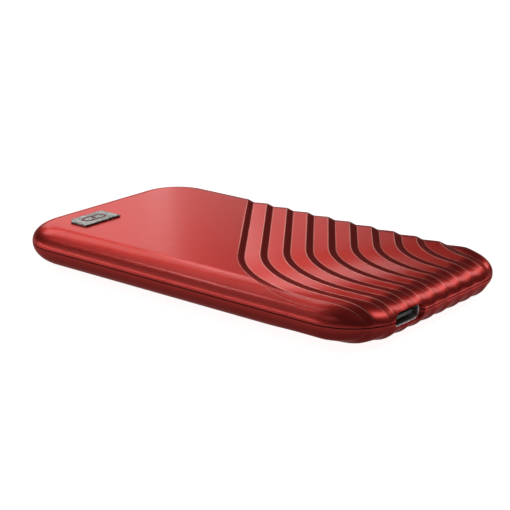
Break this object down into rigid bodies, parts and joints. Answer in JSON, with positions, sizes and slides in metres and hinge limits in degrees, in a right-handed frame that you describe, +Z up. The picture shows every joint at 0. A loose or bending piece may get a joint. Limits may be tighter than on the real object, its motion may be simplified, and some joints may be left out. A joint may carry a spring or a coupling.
{
  "type": "portable solid state drive",
  "caption": "Slim metal solid state drive with rounded edges, diagonal ridges that wrap over one end, a small badge plate and a USB-C port.",
  "frame": {"origin": "centre of the bounding box's bottom face, on the surface that the drive lies on", "axes": "+X towards the end with the port, +Y towards the long side away from the badge, +Z up through the top shell"},
  "size_m": [0.1, 0.055, 0.0094],
  "materials": {
    "housing_metal": "satin red anodised",
    "badge_metal": "satin",
    "adhesive": "matte",
    "frame_plastic": "matte",
    "circuit_board": "solder mask",
    "chip_resin": "matte",
    "inductor_ferrite": "matte",
    "can_steel": "satin",
    "capacitor_ceramic": "matte",
    "resistor_ceramic": "matte",
    "screw_steel": "satin",
    "post_brass": "satin",
    "connector_plastic": "matte",
    "contact_gold": "polished",
    "receptacle_steel": "polished",
    "tongue_plastic": "satin",
    "thermal_silicone": "matte"
  },
  "bodies": {
    "root": {"badge": "badge_metal", "badge_adhesive": "adhesive", "board_screws": "screw_steel", "bottom_shell": "housing_metal", "bridge_board": "circuit_board", "bridge_capacitors": "capacitor_ceramic", "bridge_chip": "chip_resin", "bridge_crystal": "can_steel", "bridge_pad": "thermal_silicone", "bridge_resistors": "resistor_ceramic", "controller_pad": "thermal_silicone", "converter_chips": "chip_resin", "firmware_chip": "chip_resin", "inner_frame": "frame_plastic", "m2_connector": "connector_plastic", "m2_connector_pins": "contact_gold", "m2_screw": "screw_steel", "m2_standoff": "post_brass", "nand_chips": "chip_resin", "power_inductors": "inductor_ferrite", "ssd_board": "circuit_board", "ssd_capacitors": "capacitor_ceramic", "ssd_controller": "chip_resin", "ssd_edge_contacts": "contact_gold", "ssd_power_chip": "chip_resin", "top_shell": "housing_metal", "usb_c_contacts": "contact_gold", "usb_c_midplate": "receptacle_steel", "usb_c_shell": "receptacle_steel", "usb_c_tongue": "tongue_plastic"}
  },
  "joints": []
}
